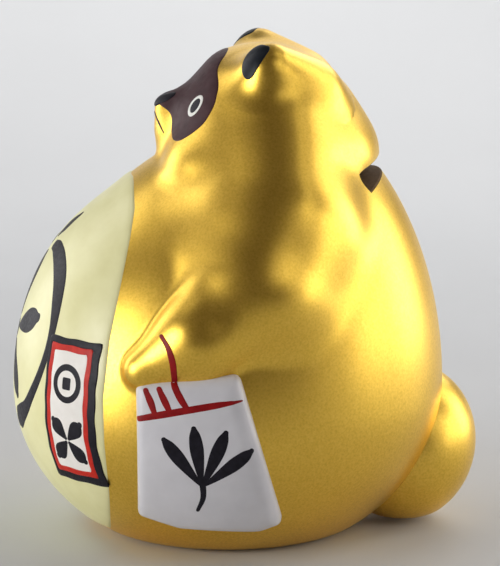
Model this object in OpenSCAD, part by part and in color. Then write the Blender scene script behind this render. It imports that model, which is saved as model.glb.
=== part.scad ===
// Seated raccoon-dog coin bank: a hollow slip-cast ceramic figure with painted coats, a luted
// tail and ears, an account book in relief under the left paw, and a rubber plug in the foot.
// Millimetres. Origin on the table under the figure, front is -Y, up is +Z, its left is +X.

/* [Casting] */
// Wall thickness of the hollow casting
wall = 4.8; // [3:0.2:8]
// Thickness of the floor that holds the plug
floor_thick = 5; // [3:0.5:8]
// Depth of the recess under the foot
recess_deep = 4; // [2:0.5:6]
// Radius of the recess under the foot
recess_r = 24; // [20:0.5:27]
// Radius of the plug bore
bore_r = 14; // [10:0.5:18]
// Facets around the figure
around = 64; // [32:4:96]
// Rings of facets from foot to crown
rings = 46; // [24:2:72]

/* [Body] */
// Half width, half depth and drop of the belly egg
egg_r = [58, 62.2, 51];
// Centre of the belly egg
egg_at = [0, -4, 42];
// Rise of the belly egg over its centre at the front
rise_front = 66; // [60:1:80]
// Rise of the belly egg over its centre at the back
rise_back = 88; // [70:1:95]
// Extra fullness of the belly's upper front
chest = 5; // [0:0.5:8]
// Radii of the head
head_r = [33.5, 29.3, 32];
// Centre of the head
head_at = [0, 7.5, 109.5];
// Backward lean of the head, degrees
head_lean = 33; // [0:1:60]
// Radius of the hollow that shapes the bridge of the nose
bridge_r = 10.5; // [6:0.5:16]
// Joints of the left arm: shoulder, upper arm, elbow, wrist, tip of the paw
arm_joints = [[20, 11, 102], [30, 9.5, 90], [38.5, 2.2, 76], [48.5, -14, 65], [49.4, -29.6, 57]];
// Radii of the arm at its joints
arm_r = [18, 21, 20.5, 12, 6];
// Centre of the left cheek
cheek_at = [17, -10.5, 108];
// Radii of the cheek
cheek_r = [13, 12, 10];

/* [Coin slot] */
// Height of the slot's opening
slot_gap = 5.3; // [4.4:0.1:7]
// Length of the slot from end to end
slot_long = 48; // [35:1:60]
// Radius of the arc the slot follows under the nape
slot_bend = 85; // [65:1:140]
// Height of the slot's middle
slot_z = 107; // [104:0.2:108]

/* [Tail and ears] */
// Radii of the tail
tail_r = [21, 20.7, 23.6];
// Centre of the tail
tail_at = [0, 47.9, 22.9];
// Centre of the round front end of the left ear
ear_front = [22.3, 6.4, 136.6];
// Centre of its lower back end, where it runs into the head
ear_back = [14.5, 18.5, 130];
// Radius of the ear's front end
ear_front_r = 6.4; // [5.5:0.1:7.5]
// Radius of the ear's back end
ear_back_r = 4.8; // [4:0.1:6]
// Turn of the ear's black front from straight ahead, degrees
ear_turn = 35; // [20:5:50]
// Rise of the ear's black front over level, degrees
ear_raise = 25; // [10:5:40]

/* [Painted coats] */
// Thickness of one coat of paint
coat = 0.3; // [0.2:0.05:0.6]
// Thickness of the cream belly coat
belly_coat = 0.5; // [0.3:0.1:1]
// Radius of a painted eye
eye_r = 2.9; // [2:0.1:4]
// Radius of a pupil
pupil_r = 1.9; // [1:0.1:2.5]
// Position of the left eye, sideways and up
eye_at = [17.9, 125];
// Outer radius of the brushed ring on the belly
ring_r = 30.5; // [24:0.5:34]
// Height of the ring's centre
ring_z = 59; // [50:1:70]
// Height of the ring over its width
ring_tall = 0.91; // [0.8:0.01:1.1]

/* [Label and account book] */
// Width and height of the label
label_size = [20.4, 40.5];
// Height of the label's centre
label_z = 42.6; // [35:0.2:50]
// Turn of the label from the front, degrees
label_turn = 37; // [25:1:50]
// Width of the label's black edge
label_edge = 1.9; // [1:0.1:3]
// Width of the label's red band
label_band_w = 1.9; // [1:0.1:4]
// How far the account book stands out
book_proud = 3.2; // [2:0.1:6]

/* [Plug] */
// Radius of the plug's flange
flange_r = 21; // [18:0.5:23]
// Thickness of the plug's flange
flange_thick = 2.4; // [1.5:0.1:3]
// Radial clearance of the plug in its bore
plug_gap = 0.08; // [0.05:0.01:0.3]

/* [Hidden] */
core = [0, -4, 70];
bore_at = [0, -4];
in_rings = 18;
nape_at = [0, 25, 110.5];
nape_r = [24, 11.3, 7];
bridge_at = [-22.5, 139.3];
muzzle = [[0, -8, 117.5], [0, -17.6, 117.8]];
muzzle_r = [10.5, 7.3];
jaw = [[0, -8, 112.5], [0, -17.2, 114.3]];
jaw_r = [9.5, 6.6];
nose_at = [0, -20.8, 122.6];
nose_r = [4.6, 4, 3.2];
half = around / 2;
floor_top = recess_deep + floor_thick;

// Signed distances, negative inside.
function step3(lo, hi, v) = let(s = max(0, min(1, (v - lo) / (hi - lo)))) s * s * (3 - 2 * s);
function smin(a, b, k) = let(h = max(k - abs(a - b), 0) / k) min(a, b) - h * h * k / 4;
function egg(q, r) =
    let(n = [q[0] / r[0], q[1] / r[1], q[2] / r[2]], k0 = norm(n),
        k1 = norm([n[0] / r[0], n[1] / r[1], n[2] / r[2]]))
    k0 * (k0 - 1) / max(k1, 0.000001);
function pitch(q, a) = [q[0], q[1] * cos(a) + q[2] * sin(a), q[2] * cos(a) - q[1] * sin(a)];
function limb(p, a, b, ra, rb) =
    let(d = b - a, len = norm(d), s = (ra - rb) / len, w = p - a, ax = w * d / len,
        off = sqrt(max(w * w - ax * ax, 0)),
        t = max(0, min(1, (ax - off * s / sqrt(1 - s * s)) / len)))
    norm(w - t * d) - (ra + (rb - ra) * t);
function belly(p) =
    let(q = p - egg_at, back = (rise_back - rise_front) * step3(-50, 50, q[1]),
        lift = q[2] < 0 ? egg_r[2] : rise_front + back + chest * step3(35, 62, -p[1]))
    egg(q, [egg_r[0], egg_r[1], lift]);
function head(p) =
    smin(egg(pitch(p - head_at, head_lean), head_r), egg(p - nape_at, nape_r), 9);
function snout(p) =
    let(top = limb(p, muzzle[0], muzzle[1], muzzle_r[0], muzzle_r[1]),
        low = limb(p, jaw[0], jaw[1], jaw_r[0], jaw_r[1]))
    smin(smin(top, low, 3), egg(p - nose_at, nose_r), 3);
function arm_part(q, k) = limb(q, arm_joints[k], arm_joints[k + 1], arm_r[k], arm_r[k + 1]);
function arm(q, k = 0) =
    k == len(arm_r) - 2 ? arm_part(q, k) : smin(arm_part(q, k), arm(q, k + 1), 6);
function figure(p) =
    let(q = [abs(p[0]), p[1], p[2]],
        neck = 2 + 14 * step3(-30, -8, p[1]) * (1 - step3(12, 32, p[1])),
        a = smin(belly(p), head(p), neck),
        b = -smin(-a, norm([p[1] - bridge_at[0], p[2] - bridge_at[1]]) - bridge_r, 6),
        c = smin(b, snout(p), 5),
        d = smin(c, egg(q - cheek_at, cheek_r), 5),
        behind = step3(-12, 10, p[1] + 0.3 * (p[2] - 75)),
        shoulder = step3(76, 102, p[2]) * (1 - step3(12, 34, p[1])))
    smin(d, arm(q), 1.5 + 4 * behind + 13 * shoulder);
function shape(kind, p) = kind == "belly" ? belly(p) : figure(p);

// Distance from a start point along a direction to where the shape reaches a level.
function reach(kind, c, d, lv, r0, f0, r1, n) =
    let(f1 = shape(kind, c + r1 * d) - lv)
    n == 0 || abs(f1) < 0.003 ? r1
        : reach(kind, c, d, lv, r1, f1, r1 - f1 / max(0.3, (f1 - f0) / (r1 - r0)), n - 1);
function cast(kind, c, d, lv, r) =
    reach(kind, c, d, lv, r, shape(kind, c + r * d) - lv, r + 3, 12);
function flat(i) = [sin(360 * i / around), -cos(360 * i / around), 0];
function foot(kind, i, lv, z) =
    let(c = [core[0], core[1], z]) c + cast(kind, c, flat(i), lv, 38) * flat(i);
function meridian(kind, i, lv, z, n) =
    let(f = foot(kind, i, lv, z), e0 = atan2(z - core[2], norm([f[0], f[1] - core[1]])))
    [for (j = [0 : n - 1]) let(e = e0 + (90 - e0) * j / n,
        d = flat(i) * cos(e) + [0, 0, sin(e)])
        j == 0 ? f : core + cast(kind, core, d, lv, 55) * d];
function mirrored(h) = [for (i = [0 : around - 1])
    i <= half ? h[i] : [for (p = h[around - i]) [-p[0], p[1], p[2]]]];
function sheet(kind, lv, z, n) = mirrored([for (i = [0 : half]) meridian(kind, i, lv, z, n)]);
function crown(kind, lv) = core + cast(kind, core, [0, 0, 1], lv, 68) * [0, 0, 1];
function ring_of(s, j) = [for (i = [0 : around - 1]) s[i][j]];
function hoop(r, z) = [for (i = [0 : around - 1]) [bore_at[0], bore_at[1], z] + r * flat(i)];
function joined(m) = [for (row = m) for (p = row) p];
function strip(k) = joined([for (i = [0 : around - 1])
    let(n = (i + 1) % around, a = k * around + i, b = k * around + n,
        c = (k + 1) * around + i, d = (k + 1) * around + n)
    i < half ? [[c, a, b], [c, b, d]] : [[c, a, d], [a, b, d]]]);
function cap_first(t) = [for (i = [0 : around - 1]) [t, (i + 1) % around, i]];
function cap_last(t, k) =
    [for (i = [0 : around - 1]) [t, k * around + i, k * around + (i + 1) % around]];

module meshed() {
    resize([0, 0, 0]) children();
}

module closed_rings(top, loops, bottom) {
    n = len(loops);
    points = concat(joined(loops), [top, bottom]);
    sides = joined([for (k = [0 : n - 2]) strip(k)]);
    faces = concat(sides, cap_first(n * around), cap_last(n * around + 1, n - 1));
    polyhedron(points = points, faces = faces, convexity = 6);
}

module skin(lv, kind = "figure") {
    s = sheet(kind, lv, 0, rings);
    loops = [for (j = [rings - 1 : -1 : 0]) ring_of(s, j)];
    closed_rings(crown(kind, lv), loops, [bore_at[0], bore_at[1], 0]);
}

module layer(lo, hi, kind = "figure") {
    difference() {
        skin(hi, kind);
        skin(lo, kind);
    }
}

// Outlines drawn as seen from the front, from the left, or square to the label.
module to_front() {
    rotate([90, 0, 0]) linear_extrude(90) children();
}

module to_left() {
    rotate([90, 0, 90]) linear_extrude(90) children();
}

module to_label() {
    rotate([90, 0, label_turn]) linear_extrude(90) children();
}

module stroke(path, w0, w1) {
    n = len(path) - 1;
    for (k = [0 : n - 1])
        hull() {
            translate(path[k]) circle(d = w0 + (w1 - w0) * k / n, $fn = 12);
            translate(path[k + 1]) circle(d = w0 + (w1 - w0) * (k + 1) / n, $fn = 12);
        }
}

module petal(long, wide) {
    hull() {
        translate([0, long * 0.68]) circle(d = wide, $fn = 16);
        translate([0, long * 0.1]) circle(d = wide * 0.3, $fn = 12);
    }
}

module slot_cut() {
    span = 2 * asin(slot_long / 2 / slot_bend);
    translate([0, 0, slot_z - slot_bend]) rotate([90, 0, 0]) rotate([0, 0, 90 - span / 2])
        translate([0, 0, -75]) rotate_extrude(angle = span, $fn = 90)
            translate([slot_bend - slot_gap / 2, 0]) square([slot_gap, 53]);
}

module body_shell() {
    outer = sheet("figure", 0, 0, rings);
    inner = sheet("figure", -wall, floor_thick, in_rings);
    down = [for (j = [rings - 1 : -1 : 0]) ring_of(outer, j)];
    up = [for (j = [0 : in_rings - 1]) ring_of(inner, j)];
    hole = bore_r - 2;
    loops = concat(down, [hoop(hole, 0), hoop(hole, floor_top), hoop(recess_r + 4, floor_top),
        hoop(recess_r + 6, floor_thick)], up);
    color([0.78, 0.55, 0.15])
        difference() {
            closed_rings(crown("figure", 0), loops, crown("figure", -wall));
            translate([bore_at[0], bore_at[1], -1]) cylinder(h = recess_deep + 1, r = recess_r);
            translate([bore_at[0], bore_at[1], -1]) cylinder(h = floor_top + 2, r = bore_r);
            slot_cut();
        }
}

module tail() {
    color([0.78, 0.55, 0.15])
        meshed()
            difference() {
                translate(tail_at) rotate([10, 0, 0]) scale(tail_r) sphere(r = 1, $fn = 44);
                skin(0);
                translate([-50, 0, -20]) cube([100, 100, 20.6]);
            }
}

module ear_lobe(grow) {
    hull() {
        translate(ear_front) sphere(r = ear_front_r + grow, $fn = 28);
        translate(ear_back) sphere(r = ear_back_r + grow, $fn = 24);
    }
}

module ear() {
    meshed()
        difference() {
            ear_lobe(0);
            skin(0);
        }
}

module ear_fill() {
    meshed()
        difference() {
            intersection() {
                ear_lobe(coat);
                translate(ear_front) rotate([90 - ear_raise, 0, ear_turn]) linear_extrude(20)
                    polygon([[0.3, 5.5], [-1.9, 5.2], [-3.8, 4.2], [-4.8, 2], [-4.6, -0.8], [-3.4, -3],
                        [-1.6, -4.4], [0.3, -5], [2, -4.4], [3.1, -2.6], [3.9, -0.4], [4.1, 2],
                        [3.6, 4], [2.2, 5.2]]);
            }
            ear_lobe(0);
            skin(0);
        }
}

module ear_left() {
    color([0.78, 0.55, 0.15]) ear();
}

module ear_right() {
    color([0.78, 0.55, 0.15]) mirror([1, 0, 0]) ear();
}

module ear_fill_left() {
    color([0.05, 0.06, 0.08]) ear_fill();
}

module ear_fill_right() {
    color([0.05, 0.06, 0.08]) mirror([1, 0, 0]) ear_fill();
}

module panel_outline() {
    polygon([[-90, 4.5], [-39, 4.5], [-39.5, 20], [-40.8, 36], [-41, 48], [-39, 64],
        [-36.6, 75], [-33, 90], [-31.5, 97], [-31.5, 103.5], [-90, 103.5]]);
}

module belly_panel() {
    color([0.93, 0.91, 0.74])
        meshed()
            intersection() {
                layer(0, belly_coat);
                translate([-80, 0, 0]) rotate([90, 0, 90]) linear_extrude(160) panel_outline();
            }
}

module ring_outline() {
    difference() {
        scale([1, ring_tall]) circle(r = ring_r, $fn = 72);
        translate([0, 1]) scale([1, ring_tall - 0.03]) circle(r = ring_r - 4, $fn = 72);
        translate([-4.5, -ring_r - 2]) square([9, 12]);
    }
}

module label_clear() {
    difference() {
        translate([-100, -100, 0]) cube([200, 200, 150]);
        to_label() translate([0, label_z]) offset(delta = 0.2) label_box(0);
    }
}

module belly_ring() {
    color([0.08, 0.07, 0.08])
        meshed()
            intersection() {
                layer(belly_coat, belly_coat + coat);
                to_front() translate([0, ring_z]) {
                    ring_outline();
                    stroke([[0.4, 27.2], [1.9, 29.8], [3.6, 32.8]], 3.6, 2.2);
                }
                label_clear();
            }
}

module belly_motif() {
    color([0.08, 0.07, 0.08])
        meshed()
            intersection() {
                layer(belly_coat, belly_coat + coat);
                to_front() translate([0, ring_z]) {
                    for (k = [0 : 4]) rotate([0, 0, 72 * k]) translate([0, 4]) petal(18, 7);
                    circle(r = 2.4, $fn = 20);
                }
            }
}

module nose_outline() {
    hull() {
        translate([0, 124.2]) circle(r = 1.4, $fn = 16);
        translate([3.6, 125.6]) circle(r = 1.6, $fn = 16);
        translate([-3.6, 125.6]) circle(r = 1.6, $fn = 16);
    }
}

module mask_outline() {
    side = [[0, 139.5], [7, 138], [13.4, 134.5], [18.5, 131.5], [21.5, 128.5], [23.7, 125.3],
        [24.4, 121.5], [23.6, 118.7], [21.7, 116.2], [19.3, 115.3], [14.7, 115.5], [11.1, 117],
        [9.6, 120], [7.3, 122], [3, 123.7], [0, 124]];
    polygon(side);
    mirror([1, 0]) polygon(side);
}

module face_mask() {
    color([0.2, 0.09, 0.1])
        meshed()
            intersection() {
                layer(0, coat);
                to_front()
                    difference() {
                        mask_outline();
                        nose_outline();
                    }
            }
}

module nose() {
    color([0.06, 0.05, 0.06])
        meshed()
            intersection() {
                layer(0, 2 * coat);
                to_front() nose_outline();
            }
}

module mouth_line() {
    path = [[0, 121.4], [1.6, 120.6], [4.6, 118.4], [7.2, 116]];
    color([0.12, 0.07, 0.05])
        meshed()
            intersection() {
                layer(0, coat);
                to_front() {
                    stroke(path, 0.9, 0.6);
                    mirror([1, 0]) stroke(path, 0.9, 0.6);
                }
            }
}

module eye(side) {
    meshed()
        intersection() {
            layer(coat, 2 * coat);
            to_front() translate([side * eye_at[0], eye_at[1]])
                difference() {
                    circle(r = eye_r, $fn = 36);
                    circle(r = pupil_r, $fn = 28);
                }
        }
}

module pupil(side) {
    meshed()
        intersection() {
            layer(coat, 2 * coat);
            to_front() translate([side * eye_at[0], eye_at[1]]) circle(r = pupil_r, $fn = 28);
        }
}

module eye_left() {
    color([0.95, 0.95, 0.93]) eye(1);
}

module eye_right() {
    color([0.95, 0.95, 0.93]) eye(-1);
}

module pupil_left() {
    color([0.05, 0.05, 0.05]) pupil(1);
}

module pupil_right() {
    color([0.05, 0.05, 0.05]) pupil(-1);
}

module book_outline() {
    offset(r = 2.5, $fn = 32) offset(delta = -2.5)
        polygon([[-31.8, 54], [-4.4, 57.5], [8.6, 12.6], [2, 11], [-20, 12], [-31.4, 15.5]]);
}

module account_book() {
    color([0.86, 0.85, 0.83])
        meshed()
            difference() {
                union() {
                    intersection() {
                        skin(book_proud - 1, "belly");
                        to_left() book_outline();
                    }
                    intersection() {
                        skin(book_proud, "belly");
                        to_left() offset(delta = -1) book_outline();
                    }
                }
                skin(0);
            }
}

module book_mark() {
    meshed()
        difference() {
            intersection() {
                layer(book_proud, book_proud + coat, "belly");
                to_left() children();
            }
            skin(2 * coat);
        }
}

module book_cord() {
    color([0.5, 0.04, 0.04])
        book_mark() {
            stroke([[-21.6, 52.6], [-20, 50.5], [-18.4, 48.6]], 1.2, 1.2);
            stroke([[-29.4, 44.8], [-18, 47.6], [-10, 49], [-4, 49.2]], 1.9, 0.7);
            stroke([[-28.4, 51.6], [-27.2, 49], [-26.6, 46.4]], 1.2, 1);
            stroke([[-25, 52], [-23.6, 49.4], [-22.8, 47]], 1.2, 1);
        }
}

module wrist_cord() {
    color([0.5, 0.04, 0.04])
        meshed()
            intersection() {
                layer(0, coat);
                to_left() stroke([[-24.9, 67], [-23.2, 64.2], [-22.2, 60.6], [-21.8, 57.4]], 1, 1.3);
            }
}

module book_motif() {
    color([0.1, 0.09, 0.1])
        book_mark()
            translate([-14, 27]) {
                for (t = [-52, -22, 8, 38]) rotate([0, 0, t]) translate([0, 1]) petal(15, 4.2);
                stroke([[-1, -7], [0.5, -3], [0, 2]], 1.2, 1.8);
            }
}

module label_box(inset) {
    offset(r = 0.8, $fn = 16)
        square([label_size[0] - 2 * inset - 1.6, label_size[1] - 2 * inset - 1.6], center = true);
}

module label_mark() {
    meshed()
        intersection() {
            layer(belly_coat, belly_coat + coat);
            to_label() translate([0, label_z]) children();
        }
}

module label_border() {
    color([0.08, 0.07, 0.08])
        label_mark()
            difference() {
                label_box(0);
                label_box(label_edge);
            }
}

module label_band() {
    color([0.75, 0.12, 0.08])
        label_mark()
            difference() {
                label_box(label_edge);
                label_box(label_edge + label_band_w);
            }
}

module label_motif_outline() {
    translate([0, 8.2])
        difference() {
            circle(r = 5.2, $fn = 36);
            circle(r = 3.7, $fn = 32);
        }
    translate([0, 8.2]) square([3.2, 3.2], center = true);
    for (t = [0 : 90 : 270])
        translate([0, -8]) rotate([0, 0, t + 45]) translate([0, 0.6]) petal(7, 3.6);
}

module label_field() {
    color([0.95, 0.9, 0.84])
        label_mark()
            difference() {
                label_box(label_edge + label_band_w);
                label_motif_outline();
            }
}

module label_motif() {
    color([0.08, 0.07, 0.08])
        label_mark() label_motif_outline();
}

module stopper() {
    low = recess_deep - flange_thick;
    r = bore_r - plug_gap;
    color([0.9, 0.88, 0.82])
        translate([bore_at[0], bore_at[1], 0]) {
            rotate_extrude($fn = 96)
                polygon([[0, low + 1], [11, low + 1], [12, low], [flange_r - 0.8, low],
                    [flange_r, low + 0.8], [flange_r, recess_deep], [r, recess_deep],
                    [r, floor_top + 0.6], [r - 1.4, floor_top + 2.6], [r - 4, floor_top + 2.6],
                    [r - 4, low + 3.4], [0, low + 3.4]]);
            translate([-12, -1.5, low]) cube([24, 3, 1.5]);
        }
}

body_shell();
tail();
ear_left();
ear_right();
ear_fill_left();
ear_fill_right();
belly_panel();
belly_ring();
belly_motif();
face_mask();
nose();
mouth_line();
eye_left();
eye_right();
pupil_left();
pupil_right();
account_book();
book_cord();
wrist_cord();
book_motif();
label_border();
label_band();
label_field();
label_motif();
stopper();
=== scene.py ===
# A seated raccoon-dog coin bank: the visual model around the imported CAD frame.
# Shapes are worked out in millimetres and written to Blender in metres.
import math

import bpy
import numpy as np
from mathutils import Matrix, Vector
from mathutils.geometry import delaunay_2d_cdt


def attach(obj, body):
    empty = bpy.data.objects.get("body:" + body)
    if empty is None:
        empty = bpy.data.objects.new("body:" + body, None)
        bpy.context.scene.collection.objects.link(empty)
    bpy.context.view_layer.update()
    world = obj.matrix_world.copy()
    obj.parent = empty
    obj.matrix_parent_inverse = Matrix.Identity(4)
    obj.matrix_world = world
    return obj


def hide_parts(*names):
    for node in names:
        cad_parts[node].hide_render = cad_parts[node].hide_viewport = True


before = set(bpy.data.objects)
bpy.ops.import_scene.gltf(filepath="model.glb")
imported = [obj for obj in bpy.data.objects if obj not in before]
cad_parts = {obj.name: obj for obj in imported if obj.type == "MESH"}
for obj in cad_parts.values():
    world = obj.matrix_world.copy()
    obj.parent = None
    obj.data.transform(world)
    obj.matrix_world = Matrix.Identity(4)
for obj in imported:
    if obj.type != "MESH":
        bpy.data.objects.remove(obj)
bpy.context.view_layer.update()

MM = 0.001

# Sizes shared with the CAD model, mm
WALL = 4.8
FLOOR_THICK = 5.0
RECESS_DEEP = 4.0
RECESS_R = 24.0
BORE_R = 14.0
BORE_Y = -4.0
SLOT_GAP = 5.3
SLOT_LONG = 48.0
SLOT_BEND = 85.0
SLOT_Z = 107.0
CORE = np.array([0.0, -4.0, 70.0])
BELLY_AT = (0, -4, 42.0)
BELLY_DOWN = 51.0
BELLY_WIDE = 58.0
BELLY_DEEP = 62.2
SKULL_AT = (0, 7.5, 109.5)
SKULL_R = (33.5, 29.3, 32.0)
SKULL_PITCH = 33
NAPE_AT = (0, 25.0, 110.5)
NAPE_R = (24, 11.3, 7.0)
BRIDGE_R = 10.5
BRIDGE_Y = -22.5
BRIDGE_Z = 139.3
NOSE_AT = (0, -20.8, 122.6)
NOSE_R = (4.6, 4.0, 3.2)
CHEEK_AT = (17, -10.5, 108)
CHEEK_R = (13, 12, 10)
ARM_JOINTS = ((20, 11, 102), (30, 9.5, 90), (38.5, 2.2, 76), (48.5, -14, 65), (49.4, -29.6, 57))
ARM_R = (18, 21, 20.5, 12, 6)
TAIL_AT = (0, 47.9, 22.9)
TAIL_R = (21, 20.7, 23.6)
TAIL_PITCH = -10
EAR_FRONT = (22.3, 6.4, 136.6)
EAR_BACK = (14.5, 18.5, 130.0)
EAR_FRONT_R = 6.4
EAR_BACK_R = 4.8
EAR_CENTRE = (15.5, 9.5, 133.0)
EAR_TURN = 35
EAR_RAISE = 25
LABEL_TURN = 37
LABEL_Z = 42.6
LABEL_HALF_WIDE = 10.2
LABEL_HALF_TALL = 20.25
BOOK_PROUD = 3.2

# Thickness of the painted coats, mm
BELLY_COAT = 0.45
COAT = 0.14

# Mesh resolution of the casting
COLUMNS = 320
ROWS = 220
INNER_ROWS = 36


# ---------------------------------------------------------------- distance fields

def step3(lo, hi, v):
    s = np.clip((v - lo) / (hi - lo), 0, 1)
    return s * s * (3 - 2 * s)


def smin(a, b, k):
    h = np.maximum(k - np.abs(a - b), 0) / k
    return np.minimum(a, b) - h * h * k / 4


def smax(a, b, k):
    return -smin(-a, -b, k)


def pitch(q, degrees):
    a = math.radians(degrees)
    y, z = q[..., 1], q[..., 2]
    return np.stack([q[..., 0], y * math.cos(a) + z * math.sin(a),
                     z * math.cos(a) - y * math.sin(a)], -1)


def egg(q, radii):
    n = q / radii
    k0 = np.linalg.norm(n, axis=-1)
    k1 = np.linalg.norm(n / radii, axis=-1)
    return k0 * (k0 - 1) / np.maximum(k1, 1e-9)


def limb(p, a, b, ra, rb):
    a, b = np.array(a, float), np.array(b, float)
    d = b - a
    length = np.linalg.norm(d)
    slope = (ra - rb) / length
    w = p - a
    along = w @ d / length
    off = np.sqrt(np.maximum((w * w).sum(-1) - along * along, 0))
    t = np.clip((along - off * slope / math.sqrt(1 - slope * slope)) / length, 0, 1)
    return np.linalg.norm(w - t[..., None] * d, axis=-1) - (ra + (rb - ra) * t)


def belly(p):
    q = p - np.array(BELLY_AT)
    rise = 66 + 22 * step3(-50, 50, q[..., 1]) + 5 * step3(35, 62, -p[..., 1])
    lift = np.where(q[..., 2] < 0, BELLY_DOWN, rise)
    radii = np.stack([np.full_like(lift, BELLY_WIDE), np.full_like(lift, BELLY_DEEP), lift], -1)
    return egg(q, radii)


def head(p):
    skull = egg(pitch(p - np.array(SKULL_AT), SKULL_PITCH), np.array(SKULL_R))
    nape = egg(p - np.array(NAPE_AT), np.array(NAPE_R))
    return smin(skull, nape, 9)


def snout(p):
    top = limb(p, (0, -8, 117.5), (0, -17.6, 117.8), 10.5, 7.3)
    jaw = limb(p, (0, -8, 112.5), (0, -17.2, 114.3), 9.5, 6.6)
    tip = egg(p - np.array(NOSE_AT), np.array(NOSE_R))
    return smin(smin(top, jaw, 3), tip, 3)


def arm(q):
    f = limb(q, *ARM_JOINTS[-2:], *ARM_R[-2:])
    for k in range(len(ARM_R) - 3, -1, -1):
        f = smin(limb(q, *ARM_JOINTS[k:k + 2], *ARM_R[k:k + 2]), f, 6)
    return f


def figure(p):
    q = p.copy()
    q[..., 0] = np.abs(q[..., 0])
    y, z = p[..., 1], p[..., 2]
    neck = 2 + 14 * step3(-30, -8, y) * (1 - step3(12, 32, y))
    f = smin(belly(p), head(p), neck)
    f = smax(f, BRIDGE_R - np.hypot(y - BRIDGE_Y, z - BRIDGE_Z), 6)
    f = smin(f, snout(p), 5)
    f = smin(f, egg(q - np.array(CHEEK_AT), np.array(CHEEK_R)), 5)
    behind = step3(-12, 10, y + 0.3 * (z - 75))
    shoulder = step3(76, 102, z) * (1 - step3(12, 34, y))
    return smin(f, arm(q), 1.5 + 4 * behind + 13 * shoulder)


def footed(p):
    """The figure cut flat where it stands, with a soft foot edge."""
    return smax(figure(p), -p[..., 2], 2.4)


def tail_lobe(p):
    lobe = egg(pitch(p - np.array(TAIL_AT), TAIL_PITCH), np.array(TAIL_R))
    return smax(lobe, 0.6 - p[..., 2], 3)


def eared(p):
    """The left ear: a low ridge, slimmer than the CAD's by what its soft join to the head adds."""
    ridge = limb(p, EAR_FRONT, EAR_BACK, EAR_FRONT_R - 0.6, EAR_BACK_R)
    return smin(ridge, figure(p), 12) + 0.05


def cast(field, start, ray, level=0.0, far=120.0):
    """Distance from inside the shape, along each ray, to where the field reaches the level."""
    lo = np.zeros(start.shape[:-1])
    hi = np.full(start.shape[:-1], float(far))
    for _ in range(24):
        mid = (lo + hi) / 2
        deep = field(start + mid[..., None] * ray) < level
        lo, hi = np.where(deep, mid, lo), np.where(deep, hi, mid)
    return (lo + hi) / 2


def land(field, start, ray):
    """Where rays from outside first meet the field's zero level."""
    t = np.zeros(start.shape[:-1])
    for _ in range(70):
        t = t + 0.85 * field(start + t[..., None] * ray)
    return start + t[..., None] * ray


def normals(field, p, h=0.2):
    g = np.stack([field(p + h * e) - field(p - h * e) for e in np.eye(3)], -1)
    return g / np.maximum(np.linalg.norm(g, axis=-1, keepdims=True), 1e-9)


# ---------------------------------------------------------------- meshes

def add_mesh(name, points, faces, material, body="figure", sharp=40):
    mesh = bpy.data.meshes.new(name)
    mesh.from_pydata((np.asarray(points) * MM).tolist(), [], faces)
    mesh.shade_smooth()
    mesh.set_sharp_from_angle(angle=math.radians(sharp))
    mesh.materials.append(material)
    obj = bpy.data.objects.new(name, mesh)
    bpy.context.scene.collection.objects.link(obj)
    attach(obj, body)
    return obj


def stand_in(obj, slot, *nodes):
    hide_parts(*nodes)


def mirrored(points, faces):
    return points * np.array([-1, 1, 1]), [tuple(reversed(f)) for f in faces]


def tube_faces(rows, columns):
    """Quads between successive closed rows of points."""
    return [(a + c, a + (c + 1) % columns, a + columns + (c + 1) % columns, a + columns + c)
            for a in range(0, (rows - 1) * columns, columns) for c in range(columns)]


def closed_rows(loops, first, last):
    """Rows of points closed with a fan to a point at each end."""
    n = len(loops[0])
    top = len(loops) * n
    faces = tube_faces(len(loops), n)
    faces += [(top, (c + 1) % n, c) for c in range(n)]
    faces += [(top + 1, top - n + c, top - n + (c + 1) % n) for c in range(n)]
    return np.concatenate([*loops, [first], [last]]), faces


def compass(columns):
    """Directions round the figure: the first to its front, then towards its left."""
    a = np.arange(columns) * 2 * np.pi / columns
    return np.stack([np.sin(a), -np.cos(a), 0 * a], -1)


def dome(field, level, low):
    """Columns of points on a level, from the elevation low up to just under the crown."""
    half = COLUMNS // 2
    rows = ROWS if level == 0 else INNER_ROWS
    flat = compass(COLUMNS)[: half + 1]
    low = np.broadcast_to(low, (COLUMNS,))[: half + 1]
    e = low[None, :] + (np.pi / 2 - low[None, :]) * (np.arange(rows) / rows)[:, None]
    ray = flat[None] * np.cos(e)[..., None] + np.array([0, 0, 1.0]) * np.sin(e)[..., None]
    start = np.broadcast_to(CORE, ray.shape)
    points = start + cast(field, start, ray, level)[..., None] * ray
    other = points[:, half - 1:0:-1] * np.array([-1, 1, 1])
    return np.concatenate([points, other], 1)


def crown(field, level):
    up = np.array([[0, 0, 1.0]])
    return CORE + cast(field, CORE[None], up, level)[0] * up[0]


def casting_mesh():
    floor_top = RECESS_DEEP + FLOOR_THICK
    outer = dome(footed, 0, -math.atan2(CORE[2], RECESS_R + 0.5))
    flat = compass(COLUMNS)
    start = np.broadcast_to(np.array([0, CORE[1], FLOOR_THICK]), flat.shape)
    low = -np.arctan2(CORE[2] - FLOOR_THICK, cast(figure, start, flat, -WALL))
    inner = dome(figure, -WALL, low)
    profile = [
        (RECESS_R + 0.15, 0.15), (RECESS_R, 0.5), (RECESS_R, RECESS_DEEP - 0.9),
        (RECESS_R - 0.3, RECESS_DEEP - 0.25), (RECESS_R - 1, RECESS_DEEP),
        (BORE_R + 0.6, RECESS_DEEP), (BORE_R + 0.12, RECESS_DEEP + 0.15),
        (BORE_R, RECESS_DEEP + 0.6), (BORE_R, floor_top - 0.5), (BORE_R + 0.5, floor_top),
        (RECESS_R + 4, floor_top), (RECESS_R + 6, FLOOR_THICK)]
    under = [r * flat + np.array([0, BORE_Y, z]) for r, z in profile]
    loops = list(inner[::-1]) + under[::-1] + list(outer)
    return closed_rows(loops, crown(figure, -WALL), crown(footed, 0))


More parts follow.
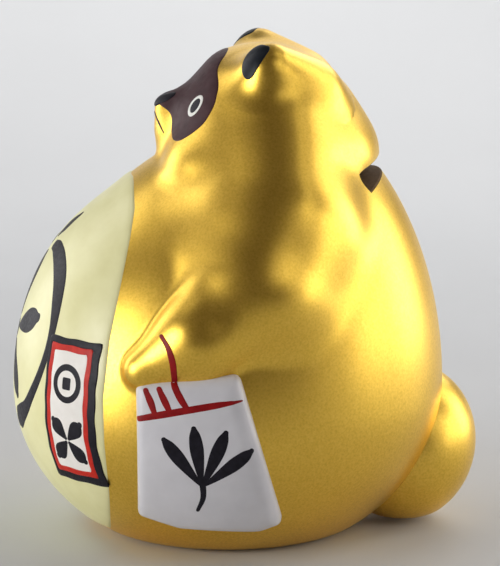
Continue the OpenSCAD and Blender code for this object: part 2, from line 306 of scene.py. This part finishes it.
def slot_cutter():
    """A bent bar through the nape, flared at the skin so that the lips are rounded."""
    count, lip = 49, 0.35
    half_angle = math.asin(SLOT_LONG / 2 / SLOT_BEND)
    a = np.linspace(-half_angle, half_angle, count)
    out = np.stack([np.sin(a), 0 * a, np.cos(a)], -1)
    back = np.array([0, 1.0, 0])
    loops = []
    for side in (1, -1):
        base = (SLOT_BEND + side * SLOT_GAP / 2) * out + np.array([0, 0, SLOT_Z - SLOT_BEND])
        start = base + 75 * back
        skin = land(figure, start, np.broadcast_to(-back, start.shape))[:, 1]
        k = np.linspace(0, np.pi / 2 * 0.94, 8)
        y = [np.full(count, 12.0)] + [skin - lip + lip * np.sin(v) for v in k] + [skin + 6]
        grow = [0.0] + [lip * (1 - math.cos(v)) for v in k] + [lip]
        loops.append([base + side * g * out + back * yy[:, None] for yy, g in zip(y, grow)])
    rows = [np.concatenate([t, b[::-1]]) for t, b in zip(*loops)]
    faces = tube_faces(len(rows), 2 * count)
    last = (len(rows) - 1) * 2 * count
    for c in range(count - 1):
        faces.append((c, 2 * count - 1 - c, 2 * count - 2 - c, c + 1))
        faces.append((last + c + 1, last + 2 * count - 2 - c, last + 2 * count - 1 - c, last + c))
    return np.concatenate(rows), faces


def cut_away(obj, points, faces):
    """Takes a closed shape out of obj."""
    mesh = bpy.data.meshes.new("cutter")
    mesh.from_pydata((points * MM).tolist(), [], faces)
    mesh.materials.append(CLAY)
    cutter = bpy.data.objects.new("cutter", mesh)
    bpy.context.scene.collection.objects.link(cutter)
    cut = obj.modifiers.new("cut", "BOOLEAN")
    cut.operation, cut.object, cut.solver = "DIFFERENCE", cutter, "MANIFOLD"
    cut.material_mode = "TRANSFER"
    graph = bpy.context.evaluated_depsgraph_get()
    done = bpy.data.meshes.new_from_object(obj.evaluated_get(graph))
    obj.modifiers.clear()
    obj.data = done
    bpy.data.objects.remove(cutter)
    done.set_sharp_from_angle(angle=math.radians(40))


def lobe_mesh(field, centre, far, columns, rows):
    """A closed surface seen from its centre; far caps the rays that run into the casting."""
    flat = compass(columns)
    e = np.linspace(-np.pi / 2, np.pi / 2, rows + 2)[1:-1]
    ray = flat[None] * np.cos(e)[:, None, None] + np.array([0, 0, 1.0]) * np.sin(e)[:, None, None]
    poles = np.array([[0, 0, -1.0], [0, 0, 1.0]])
    ray = np.concatenate([ray.reshape(-1, 3), poles])
    start = np.broadcast_to(centre, ray.shape)
    points = start + cast(field, start, ray, 0, far)[..., None] * ray
    return closed_rows(points[:-2].reshape(rows, columns, 3), *points[-2:])


# ---------------------------------------------------------------- outlines and coats

def spline(points, step, closed=False):
    """Points every step along a smooth curve through the given ones."""
    p = np.array(points, float)
    n = len(p)
    if closed:
        p = np.concatenate([p[-1:], p, p[:2]])
    else:
        p = np.concatenate([2 * p[:1] - p[1:2], p, 2 * p[-1:] - p[-2:-1]])
    t = np.linspace(0, 1, 24, endpoint=False)[:, None]
    runs = []
    for k in range(n if closed else n - 1):
        a, b, c, d = p[k:k + 4]
        runs.append(0.5 * (2 * b + (c - a) * t + (2 * a - 5 * b + 4 * c - d) * t ** 2
                           + (3 * b - a - 3 * c + d) * t ** 3))
    curve = np.concatenate(runs + [p[-2 if not closed else 1][None]])
    return even(curve, step)[: -1 if closed else None]


def even(curve, step):
    """The same line with its points a step apart."""
    s = np.concatenate([[0], np.cumsum(np.linalg.norm(np.diff(curve[:, :2], axis=0), axis=1))])
    at = np.linspace(0, s[-1], max(4, round(s[-1] / step)) + 1)
    return np.stack([np.interp(at, s, curve[:, k]) for k in range(curve.shape[1])], -1)


def rounded(points, radius, step=0.8):
    """A closed outline with straight sides and round corners."""
    p = np.array(points, float)
    run = []
    for a, b, c in zip(np.roll(p, 1, 0), p, np.roll(p, -1, 0)):
        u, v = (a - b) / np.linalg.norm(a - b), (c - b) / np.linalg.norm(c - b)
        half = math.acos(np.clip(u @ v, -1, 1)) / 2
        reach = radius / math.tan(half)
        mid = b + (u + v) / np.linalg.norm(u + v) * radius / math.sin(half)
        s, e = b + u * reach - mid, b + v * reach - mid
        sweep = math.acos(np.clip(s @ e / radius ** 2, -1, 1))
        for k in np.linspace(0, 1, 9):
            run.append(mid + (s * math.sin((1 - k) * sweep) + e * math.sin(k * sweep))
                       / max(math.sin(sweep), 1e-6))
    run.append(run[0])
    return even(np.array(run), step)[:-1]


def ribbon(points, step=0.5):
    """The outline of a brush stroke from (u, v, width) points, with round ends."""
    line = spline(points, step)
    way = np.gradient(line[:, :2], axis=0)
    way /= np.linalg.norm(way, axis=1, keepdims=True)
    side = np.stack([-way[:, 1], way[:, 0]], -1)
    half = line[:, 2:] / 2
    left, right = line[:, :2] + side * half, line[:, :2] - side * half
    turn = np.linspace(0, np.pi, 9)[1:-1, None]
    tip = line[-1, :2] + half[-1] * (side[-1] * np.cos(turn) + way[-1] * np.sin(turn))
    root = line[0, :2] - half[0] * (side[0] * np.cos(turn) + way[0] * np.sin(turn))
    return np.concatenate([left, tip, right[::-1], root])


def disc(u, v, ru, rv=None, tilt=0, count=40):
    a = np.arange(count) * 2 * np.pi / count
    t = math.radians(tilt)
    x, y = ru * np.cos(a), (rv or ru) * np.sin(a)
    return np.stack([u + x * math.cos(t) - y * math.sin(t),
                     v + x * math.sin(t) + y * math.cos(t)], -1)


def petal(u, v, angle, near, far, wide):
    """A leaf-shaped stroke that points away from (u, v)."""
    a = math.radians(angle)
    way = np.array([-math.sin(a), math.cos(a)])
    spots = [(0, 0.25), (0.25, 0.62), (0.6, 1.0), (0.85, 0.86), (1, 0.4)]
    path = [(*(np.array([u, v]) + way * (near + (far - near) * t)), wide * w) for t, w in spots]
    return ribbon(path)


def area(loop):
    x, y = loop.T
    return (x * np.roll(y, -1) - np.roll(x, -1) * y).sum() / 2


def edge_distance(uv, loops):
    best = np.full(len(uv), 1e9)
    for loop in loops:
        for a, b in zip(loop, np.roll(loop, -1, 0)):
            d = b - a
            t = np.clip((uv - a) @ d / max(d @ d, 1e-12), 0, 1)
            best = np.minimum(best, np.linalg.norm(uv - a - t[:, None] * d, axis=1))
    return best


def within(uv, loops):
    inside = np.zeros(len(uv), bool)
    u, v = uv.T
    for loop in loops:
        for (au, av), (bu, bv) in zip(loop, np.roll(loop, -1, 0)):
            if av == bv:
                continue
            hit = ((av > v) != (bv > v)) & (u < (bu - au) * (v - av) / (bv - av) + au)
            inside ^= hit
    return inside


def facing(origin, out, back=95.0):
    """A drawing plane that looks at the figure against the direction out."""
    out = np.array(out, float) / np.linalg.norm(out)
    right = np.cross([0, 0, 1.0], out)
    right /= np.linalg.norm(right)
    up = np.cross(out, right)
    def rays(uv):
        start = np.array(origin) + back * out + uv[:, :1] * right + uv[:, 1:] * up
        return start, np.broadcast_to(-out, start.shape)
    return rays


FRONT = facing((0, 0, 0), (0, -1, 0))
LEFT = facing((0, 0, 0), (1, 0, 0))
LABEL = facing((0, 0, LABEL_Z),
               (math.sin(math.radians(LABEL_TURN)), -math.cos(math.radians(LABEL_TURN)), 0))


def bulge(t):
    """A quarter round, from 0 at an edge to 1."""
    return np.sqrt(np.maximum(1 - (1 - np.clip(t, 0, 1)) ** 2, 0))


def coat(loops, plane, lift=COAT, soft=0.6, cell=1.6, level=0.0, base=figure, sink=0.35):
    """A closed layer on the surface inside the first outline, with the others as holes."""
    loops = [np.asarray(l) for l in loops]
    loops = [l if (area(l) > 0) == (k == 0) else l[::-1] for k, l in enumerate(loops)]
    wide = soft if callable(soft) else lambda uv: np.full(len(uv), float(soft))
    grid_step = np.array([cell, cell * 0.866])
    lo, hi = loops[0].min(0), loops[0].max(0)
    nu, nv = np.ceil((hi - lo) / grid_step).astype(int) + 1
    gu, gv = np.meshgrid(np.arange(nu), np.arange(nv))
    grid = lo + np.stack([(gu + 0.5 * (gv % 2)) * grid_step[0], gv * grid_step[1]], -1).reshape(-1, 2)
    inner = []
    for loop in loops:
        way = np.roll(loop, -1, 0) - np.roll(loop, 1, 0)
        way /= np.maximum(np.linalg.norm(way, axis=1, keepdims=True), 1e-9)
        side = np.stack([-way[:, 1], way[:, 0]], -1)
        for share in (0.08, 0.25, 0.55, 1.0):
            step = share * wide(loop)[:, None]
            ring = loop + side * step
            keep = within(ring, loops) & (edge_distance(ring, loops) > 0.9 * step[:, 0])
            inner.append(ring[keep])
    keep = within(grid, loops)
    grid = grid[keep]
    grid = grid[edge_distance(grid, loops) > wide(grid) + 0.45 * cell]
    uv = np.concatenate(loops + inner + [grid])
    edges, first = [], 0
    for loop in loops:
        n = len(loop)
        edges += [(first + k, first + (k + 1) % n) for k in range(n)]
        first += n
    flat, _, tris, *_ = delaunay_2d_cdt([Vector(v) for v in uv.tolist()], edges, [], 0, 1e-5)
    uv = np.array([tuple(v) for v in flat])
    tris = np.array(tris)
    tris = tris[within(uv[tris].mean(1), loops)]
    used, tris = np.unique(tris, return_inverse=True)
    uv, tris = uv[used], tris.reshape(-1, 3)
    start, ray = plane(uv)
    skin = land(base, start, ray)
    out = normals(base, skin)
    rise = lift * bulge(edge_distance(uv, loops) / wide(uv))
    ground = level(uv) if callable(level) else np.full(len(uv), float(level))
    top = skin + out * (ground + rise)[:, None]
    bottom = skin + out * (ground - sink)[:, None]
    n = len(uv)
    sides = {}
    for a, b, c in tris.tolist():
        for i, j in ((a, b), (b, c), (c, a)):
            if sides.pop((j, i), None) is None:
                sides[(i, j)] = True
    faces = [tuple(t) for t in tris.tolist()] + [(c + n, b + n, a + n) for a, b, c in tris.tolist()]
    faces += [(j, i, i + n, j + n) for i, j in sides]
    return np.concatenate([top, bottom]), faces


def joined(parts):
    """Several closed meshes as one."""
    points, faces, first = [], [], 0
    for p, f in parts:
        points.append(p)
        faces += [tuple(i + first for i in face) for face in f]
        first += len(p)
    return np.concatenate(points), faces


# ---------------------------------------------------------------- materials

def grain(nodes, links, scale, detail=3.0, rough=0.55):
    """A noise texture in the object's own space; scale is in features per metre."""
    place = nodes.new("ShaderNodeTexCoord")
    noise = nodes.new("ShaderNodeTexNoise")
    noise.inputs["Scale"].default_value = scale
    noise.inputs["Detail"].default_value = detail
    noise.inputs["Roughness"].default_value = rough
    links.new(place.outputs["Object"], noise.inputs["Vector"])
    return noise


def ramp(nodes, links, source, stops):
    r = nodes.new("ShaderNodeValToRGB")
    ends = r.color_ramp.elements
    for end, (at, colour) in ((ends[0], stops[0]), (ends[1], stops[-1])):
        end.position, end.color = at, (*colour, 1)
    for at, colour in stops[1:-1]:
        ends.new(at).color = (*colour, 1)
    links.new(source, r.inputs["Fac"])
    return r.outputs["Color"]


def spread(nodes, links, source, lo, hi, low=0.3, high=0.7):
    m = nodes.new("ShaderNodeMapRange")
    m.inputs["From Min"].default_value, m.inputs["From Max"].default_value = low, high
    m.inputs["To Min"].default_value, m.inputs["To Max"].default_value = lo, hi
    links.new(source, m.inputs["Value"])
    return m.outputs["Result"]


def finish_of(name, colours, patch, rough, metallic=0.0, bump=(900, 0.02, 0.15), clear=0.0,
              clear_rough=0.1, sheen=0.5, detail=3.0):
    """A painted or glazed finish: mottled colour, uneven roughness and a fine relief."""
    m = bpy.data.materials.new(name)
    m.use_nodes = True
    nodes, links = m.node_tree.nodes, m.node_tree.links
    shader = nodes["Principled BSDF"]
    cloud = grain(nodes, links, patch, detail)
    links.new(ramp(nodes, links, cloud.outputs["Fac"], colours), shader.inputs["Base Color"])
    wear = grain(nodes, links, patch * 2.3)
    links.new(spread(nodes, links, wear.outputs["Fac"], *rough), shader.inputs["Roughness"])
    shader.inputs["Metallic"].default_value = metallic
    shader.inputs["Specular IOR Level"].default_value = sheen
    shader.inputs["Coat Weight"].default_value = clear
    shader.inputs["Coat Roughness"].default_value = clear_rough
    fine = grain(nodes, links, bump[0], 4.0, 0.65)
    relief = nodes.new("ShaderNodeBump")
    relief.inputs["Strength"].default_value = bump[2]
    relief.inputs["Distance"].default_value = bump[1] * MM
    links.new(fine.outputs["Fac"], relief.inputs["Height"])
    links.new(relief.outputs["Normal"], shader.inputs["Normal"])
    return m


GOLD = finish_of("gold_paint", [(0.3, (0.80, 0.50, 0.065)), (0.5, (0.90, 0.575, 0.085)),
                                (0.7, (0.97, 0.64, 0.110))],
                 1500, (0.30, 0.40), metallic=1.0, bump=(1700, 0.03, 0.35))
CLAY = finish_of("raw_clay", [(0.3, (0.095, 0.052, 0.020)), (0.7, (0.150, 0.085, 0.034))],
                 700, (0.7, 0.85), bump=(1400, 0.06, 0.4), sheen=0.2)
CREAM = finish_of("cream_paint", [(0.3, (0.79, 0.755, 0.385)), (0.7, (0.86, 0.83, 0.46))],
                  120, (0.34, 0.44), bump=(700, 0.03, 0.2), clear=0.15, clear_rough=0.25)
BRUSH = finish_of("black_brush", [(0.3, (0.005, 0.004, 0.008)), (0.7, (0.014, 0.012, 0.020))],
                  500, (0.38, 0.55), bump=(1200, 0.03, 0.25), sheen=0.2)
MASK = finish_of("mask_brown", [(0.3, (0.038, 0.010, 0.013)), (0.7, (0.058, 0.018, 0.022))],
                 300, (0.42, 0.52), bump=(1100, 0.03, 0.25), sheen=0.2)
EAR_BLACK = finish_of("ear_black", [(0.3, (0.004, 0.006, 0.010)), (0.7, (0.010, 0.013, 0.020))],
                      500, (0.36, 0.48), bump=(900, 0.03, 0.2), sheen=0.2)
EYE_WHITE = finish_of("eye_white", [(0.3, (0.80, 0.80, 0.74)), (0.7, (0.87, 0.87, 0.82))],
                      500, (0.3, 0.4), sheen=0.3)
BOOK_WHITE = finish_of("book_white", [(0.3, (0.66, 0.65, 0.68)), (0.7, (0.74, 0.73, 0.76))],
                       90, (0.30, 0.40), bump=(600, 0.03, 0.15), clear=0.3, clear_rough=0.2)
CORD_RED = finish_of("cord_red", [(0.3, (0.22, 0.003, 0.005)), (0.7, (0.34, 0.007, 0.008))],
                     400, (0.38, 0.5), sheen=0.2)
LABEL_RED = finish_of("label_red", [(0.3, (0.50, 0.016, 0.009)), (0.7, (0.64, 0.028, 0.014))],
                      400, (0.38, 0.5), sheen=0.2)
LABEL_WHITE = finish_of("label_white", [(0.3, (0.84, 0.80, 0.74)), (0.7, (0.92, 0.89, 0.84))],
                        200, (0.36, 0.46), sheen=0.3)
RUBBER = finish_of("plug_rubber", [(0.3, (0.62, 0.60, 0.53)), (0.7, (0.74, 0.72, 0.65))],
                   250, (0.5, 0.65), bump=(1500, 0.04, 0.3))


# ---------------------------------------------------------------- casting, tail and ears

casting = add_mesh("casting", *casting_mesh(), GOLD)
casting.data.materials.append(CLAY)
inside = INNER_ROWS * COLUMNS
for face in casting.data.polygons:
    face.material_index = int(face.vertices[0] < inside or face.vertices[-1] == inside)
cut_away(casting, *slot_cutter())
stand_in(casting, "gold_ceramic", "body_shell")

tail = add_mesh("tail_lobe", *lobe_mesh(tail_lobe, np.array(TAIL_AT), 40, 120, 80), GOLD)
stand_in(tail, "gold_ceramic", "tail")

turn, raised = math.radians(EAR_TURN), math.radians(EAR_RAISE)
EAR_PLANE = facing(EAR_FRONT, (math.sin(turn) * math.cos(raised), -math.cos(turn) * math.cos(raised),
                               math.sin(raised)), 20)
ear_mesh = lobe_mesh(eared, np.array(EAR_CENTRE), 24, 128, 96)
# Hand-painted, so the two sides differ; (u, v) on EAR_PLANE, v up and u away from the middle
EAR_PAINT = {
    "left": [(0.0, 4.4), (-1.9, 4.4), (-3.7, 3.3), (-4.6, 1.0), (-4.5, -1.8), (-3.6, -4.0),
             (-2.0, -5.8), (-0.3, -6.4), (1.2, -5.4), (2.1, -3.4), (2.8, -1.2), (3.1, 1.0),
             (2.8, 3.0), (1.7, 4.2)],
    "right": [(0.3, 5.5), (-2.4, 5.5), (-4.9, 4.7), (-6.2, 2.4), (-5.8, -0.6), (-4.2, -3.0),
              (-1.9, -4.4), (0.3, -5.0), (2, -4.4), (3.1, -2.6), (3.9, -0.4), (4.1, 2.0),
              (3.6, 4.0), (2.2, 5.2)]}
for side, flip in (("left", lambda m: m), ("right", lambda m: mirrored(*m))):
    ear_paint = coat([spline(EAR_PAINT[side], 0.5, True)], EAR_PLANE, soft=0.5, cell=0.8, base=eared)
    stand_in(add_mesh(side + "_ear", *flip(ear_mesh), GOLD), "gold_ceramic", "ear_" + side)
    stand_in(add_mesh(side + "_ear_paint", *flip(ear_paint), EAR_BLACK), "ear_black",
             "ear_fill_" + side)


# ---------------------------------------------------------------- belly

def panel_outline():
    """The cream panel's edge as seen from the front, from its edge as seen from the side."""
    side = np.array([(4.5, -39), (20, -39.5), (36, -40.8), (48, -41), (64, -39), (75, -36.6),
                     (90, -33), (97, -31.5), (110, -31.5)], float)
    z = np.concatenate([np.linspace(4.5, 94, 60), 103.4 - 9.4 * np.linspace(1, 0, 40) ** 2])
    y = np.interp(z, side[:, 0], side[:, 1])
    start = np.stack([0 * y, y, z], -1)
    start = start[figure(start) < 0]
    x = cast(figure, start, np.broadcast_to(np.array([1.0, 0, 0]), start.shape))
    right = np.stack([x, start[:, 2]], -1)
    left = right[::-1] * np.array([-1, 1])
    return even(np.concatenate([right, left, right[:1]]), 1.1)[:-1]


belly_paint = add_mesh("belly_paint", *coat([panel_outline()], FRONT, lift=BELLY_COAT, soft=1.6,
                                            cell=2.2), CREAM)
stand_in(belly_paint, "cream_coat", "belly_panel")

half_ring = [(4.5, 83.6, 2.6), (9, 83.5, 3.4), (15.6, 81.4, 4.2), (21.6, 77.3, 4.4), (25.8, 71.6, 3.8),
             (28.6, 64.5, 2.7), (29.0, 57, 2.4), (26.6, 49, 2.8), (21.2, 41, 3.8), (15.8, 37.2, 5.6),
             (11.8, 35.0, 6.4), (10.0, 34.0, 4.0)]
other_half = [(-u, v, w) for u, v, w in half_ring]
accent = [(0.4, 86.2, 2.2), (1.9, 88.8, 4.4), (3.6, 91.8, 1.8)]
ring = joined([coat([ribbon(path, 0.8)], FRONT, lift=0.1, soft=0.5, level=BELLY_COAT)
               for path in (half_ring, other_half, accent)])
stand_in(add_mesh("belly_brush_ring", *ring, BRUSH), "brush_black", "belly_ring")

blossom = [petal(0, 59, 72 * k, 4.5, 21, 7.0) for k in range(5)] + [disc(0, 59, 2.4)]
blossom = joined([coat([loop], FRONT, lift=0.1, soft=0.5, level=BELLY_COAT) for loop in blossom])
stand_in(add_mesh("belly_blossom", *blossom, BRUSH), "brush_black", "belly_motif")


# ---------------------------------------------------------------- label

def hand_drawn(loop, by=0.12):
    """The small waver of a brushed edge."""
    u, v = loop.T
    return loop + by * np.stack([np.sin(0.8 * v + 0.5 * u), np.sin(0.7 * u - 0.6 * v)], -1)


def plate(left, right, low, high, radius=0.35):
    """The label's outline with each side moved inwards by its own amount."""
    u0, u1 = left - LABEL_HALF_WIDE, LABEL_HALF_WIDE - right
    v0, v1 = low - LABEL_HALF_TALL, LABEL_HALF_TALL - high
    return hand_drawn(rounded([(u0, v0), (u1, v0), (u1, v1), (u0, v1)], radius, 0.9))


def label_coat(loops, **more):
    return coat(loops, LABEL, soft=0.3, level=BELLY_COAT + 0.08, **more)


border = label_coat([plate(0.7, 0, 0, 0, 0.6), plate(1.9, 2.5, 2.3, 1.9)], lift=0.14)
stand_in(add_mesh("label_frame", *border, BRUSH), "brush_black", "label_border")
band = label_coat([plate(1.8, 2.4, 2.2, 1.8), plate(3.5, 4.1, 3.9, 3.6)], lift=0.12)
stand_in(add_mesh("label_red_band", *band, LABEL_RED), "label_red", "label_band")
field = label_coat([plate(3.4, 4.0, 3.8, 3.5)], lift=0.1)
stand_in(add_mesh("label_white_field", *field, LABEL_WHITE), "label_white", "label_field")

square = rounded([(-1.9, 6.3), (1.3, 6.3), (1.3, 9.7), (-1.9, 9.7)], 0.4, 0.4)
coin = [[disc(-0.3, 8, 5.4), disc(-0.3, 8, 3.6)], [square]]
leaves = [[petal(-0.3, -8, 45 + 90 * k, 0.9, 7.4, 4.6)] for k in range(4)]
mark = joined([coat(loops, LABEL, lift=0.08, soft=0.3, cell=0.9, level=BELLY_COAT + 0.16)
               for loops in coin + leaves])
stand_in(add_mesh("label_brush", *mark, BRUSH), "brush_black", "label_motif")


# ---------------------------------------------------------------- face

mask_half = [(0, 139.2), (7, 138), (13.4, 134.5), (18.5, 131.5), (21.5, 128.5), (23.7, 125.3),
             (24.4, 121.5), (23.6, 118.7), (21.7, 116.2), (19.3, 115.3), (14.7, 115.5),
             (11.1, 117), (9.6, 120), (7.3, 122), (3, 123.7), (0, 124)]
mask_loop = spline(mask_half + [(-u, v) for u, v in mask_half[-2:0:-1]], 0.7, True)
mask = add_mesh("mask_paint", *coat([mask_loop], FRONT, soft=0.5, cell=1.3), MASK)
stand_in(mask, "mask_brown", "face_mask")

nose_loop = spline([(0, 122.8), (2.2, 123.2), (4.6, 124.6), (5, 126.2), (3.2, 127.1), (0, 126.2),
                    (-3.2, 127.1), (-5, 126.2), (-4.6, 124.6), (-2.2, 123.2)], 0.4, True)
nose = add_mesh("nose_tip", *coat([nose_loop], FRONT, lift=0.5, soft=1.3, cell=0.7), BRUSH)
stand_in(nose, "brush_black", "nose")

half_mouth = [(0.1, 121.2, 0.5), (1.6, 120.6, 0.8), (4.6, 118.4, 0.75), (7.2, 116, 0.3)]
mouth = coat([ribbon(half_mouth, 0.3)], FRONT, soft=0.2, cell=0.7, lift=0.1)
mouth = add_mesh("mouth_stroke", *joined([mouth, mirrored(*mouth)]), MASK)
stand_in(mouth, "mask_brown", "mouth_line")

eye_spot = land(figure, *[a[:1] for a in FRONT(np.array([[17.9, 125.0]]))])
EYE_PLANE = facing(eye_spot[0], normals(figure, eye_spot)[0], 20)
eye_white = coat([disc(0, 0, 2.5, 3.4, -18), disc(0, 0, 1.55, 2.25, -18)], EYE_PLANE, soft=0.3,
                 cell=0.5, level=0.1, lift=0.12)
pupil = coat([disc(0, 0, 1.65, 2.35, -18)], EYE_PLANE, soft=0.4, cell=0.5, level=0.1, lift=0.1)
for side, flip in (("left", lambda m: m), ("right", lambda m: mirrored(*m))):
    stand_in(add_mesh(side + "_eye_white", *flip(eye_white), EYE_WHITE), "eye_white", "eye_" + side)
    stand_in(add_mesh(side + "_pupil", *flip(pupil), BRUSH), "brush_black", "pupil_" + side)


# ---------------------------------------------------------------- account book and cords

BOOK_LOOP = rounded([(-31.8, 54), (-4.4, 57.5), (8.6, 12.6), (2, 11), (-20, 12), (-31.4, 15.5)], 2.5)


def book_edge(uv):
    """The rounding of the book's edges: broader on the side away from the belly."""
    rear = -4.4 + 13 * (57.5 - uv[:, 1]) / 44.9
    return 2.6 + 3.4 * step3(-9, -1, uv[:, 0] - rear)


def book_height(uv):
    return BOOK_PROUD * bulge(edge_distance(uv, [BOOK_LOOP]) / book_edge(uv))


book = add_mesh("account_book_relief", *coat([BOOK_LOOP], LEFT, lift=BOOK_PROUD, soft=book_edge,
                                             cell=1.5, base=belly, sink=2.5), BOOK_WHITE)
stand_in(book, "book_white", "account_book")


def on_book(paths):
    return joined([coat([ribbon(path)], LEFT, lift=0.12, soft=0.3, cell=0.9, base=belly,
                        level=lambda uv: book_height(uv) - 0.04) for path in paths])


red = on_book([
    [(-22, 56.2, 1.4), (-20.8, 53.2, 1.8), (-19.4, 50.4, 1.9), (-18, 48.2, 1.5)],
    [(-30.4, 44.6, 1.5), (-25, 46, 1.9), (-18, 47.6, 1.9), (-10, 49.2, 1.7), (-3.8, 50.2, 0.5)],
    [(-28.4, 52.2, 1.4), (-27.2, 49.4, 1.9), (-26.2, 46.4, 1.4)],
    [(-25, 52.8, 1.4), (-23.6, 49.8, 1.9), (-22.4, 47.2, 1.5)]])
stand_in(add_mesh("book_red_cord", *red, CORD_RED), "cord_red", "book_cord")

wrist = coat([ribbon([(-25.2, 67.6, 1.2), (-23.6, 65, 1.5), (-22.4, 61, 1.8), (-21.8, 55.6, 1.6)])],
             LEFT, soft=0.3, cell=0.8)
stand_in(add_mesh("wrist_red_cord", *wrist, CORD_RED), "cord_red", "wrist_cord")

spray = [petal(-14, 27, t, 1, 16, 3.6) for t in (-52, -22, 8, 38)]
stem = ribbon([(-15, 20, 1.0), (-13.7, 24, 1.5), (-14, 29, 1.8)])
spray = joined([coat([loop], LEFT, lift=0.1, soft=0.4, cell=1.0, base=belly,
                     level=lambda uv: book_height(uv) - 0.03) for loop in spray + [stem]])
stand_in(add_mesh("book_brush", *spray, BRUSH), "brush_black", "book_motif")


# ---------------------------------------------------------------- plug

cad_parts["stopper"].data.materials[0] = RUBBER


# ---------------------------------------------------------------- studio

MIDDLE = (0, 0, 0.07)
LIGHT_DISTANCE = 0.9
LIGHT_SIZE = 0.42


def soft_light(name, place, target, size, power):
    """A square area light of the given size at a place, turned to a target; metres and watts."""
    light = bpy.data.lights.new(name, "AREA")
    light.size, light.energy = size, power
    obj = bpy.data.objects.new(name, light)
    obj.location = place
    obj.rotation_euler = (Vector(place) - Vector(target)).to_track_quat("Z", "Y").to_euler()
    bpy.context.scene.collection.objects.link(obj)


def around(azimuth, elevation, distance, centre=MIDDLE):
    a, e = math.radians(azimuth), math.radians(elevation)
    out = Vector((math.sin(a) * math.cos(e), -math.cos(a) * math.cos(e), math.sin(e)))
    return Vector(centre) + distance * out


# Azimuth from the figure's front towards its left and elevation in degrees, power in watts
BOXES = {"left_low": (21.5, 8, 4.8), "left_back_low": (-33.5, 8, 1.8), "left_back": (-33.5, 32, 1.0),
         "left_top": (-3.5, 60, 0.35), "right_near": (121.5, 32, 0.4), "right_mid": (141.5, 32, 0.4),
         "right_mid_low": (141.5, 8, 0.25), "right_low": (166.5, 8, 1.3), "right_top": (166.5, 60, 0.4),
         "back_low": (196.5, 8, 2.4), "back": (196.5, 32, 1.2), "far_back": (236.5, 32, 1.5),
         "far_back_top": (236.5, 60, 0.15)}
for name, (azimuth, elevation, power) in BOXES.items():
    soft_light(name, around(azimuth, elevation, LIGHT_DISTANCE), MIDDLE, LIGHT_SIZE, power)
soft_light("backdrop_wash", (-0.8, 0, 0.62), (-1.05, 0, 0.1), 0.5, 2.4)

world = bpy.data.worlds.new("studio")
world.use_nodes = True
world.node_tree.nodes["Background"].inputs["Color"].default_value = (1.0, 0.82, 0.76, 1)
world.node_tree.nodes["Background"].inputs["Strength"].default_value = 0.08
bpy.context.scene.world = world
bpy.context.scene.view_settings.view_transform = "Standard"

# A paper sweep: flat under the figure, then curved up into the backdrop; metres
FLAT_END = -0.5
CURVE_R = 0.6
HALF_WIDE = 2.2
sweep = [(1.6, 0.0), (0.6, 0.0), (0.0, 0.0), (FLAT_END, 0.0)]
sweep += [(FLAT_END - CURVE_R * math.sin(t), CURVE_R - CURVE_R * math.cos(t))
          for t in np.linspace(0.1, np.pi / 2, 16)]
sweep += [(-1.1, 1.2), (-1.1, 2.2)]
points = [(x, y, z) for x, z in sweep for y in (-HALF_WIDE, HALF_WIDE)]
quads = [(k, k + 1, k + 3, k + 2) for k in range(0, len(points) - 2, 2)]
floor_mesh = bpy.data.meshes.new("studio_floor")
floor_mesh.from_pydata(points, [], quads)
floor_mesh.shade_smooth()
PAPER = finish_of("studio_paper", [(0.3, (0.59, 0.60, 0.61)), (0.7, (0.61, 0.62, 0.63))],
                  6, (0.6, 0.7), bump=(300, 0.02, 0.05))
floor_mesh.materials.append(PAPER)
floor = bpy.data.objects.new("studio_floor", floor_mesh)
bpy.context.scene.collection.objects.link(floor)

CAMERA_AZIMUTH = 86.5
CAMERA_ELEVATION = 11
CAMERA_DISTANCE = 0.75
CAMERA_SHIFT = 0.01325
FOCAL_LENGTH = 164.5
SENSOR_WIDE = 36
AIM = Vector((0, 0, 0.071))
lens = bpy.data.cameras.new("camera")
lens.lens, lens.sensor_width = FOCAL_LENGTH, SENSOR_WIDE
lens.shift_x = CAMERA_SHIFT
lens.clip_start, lens.clip_end = 0.05, 20
camera = bpy.data.objects.new("camera", lens)
camera.location = around(CAMERA_AZIMUTH, CAMERA_ELEVATION, CAMERA_DISTANCE, AIM)
camera.rotation_euler = (camera.location - AIM).to_track_quat("Z", "Y").to_euler()
bpy.context.scene.collection.objects.link(camera)
bpy.context.scene.camera = camera
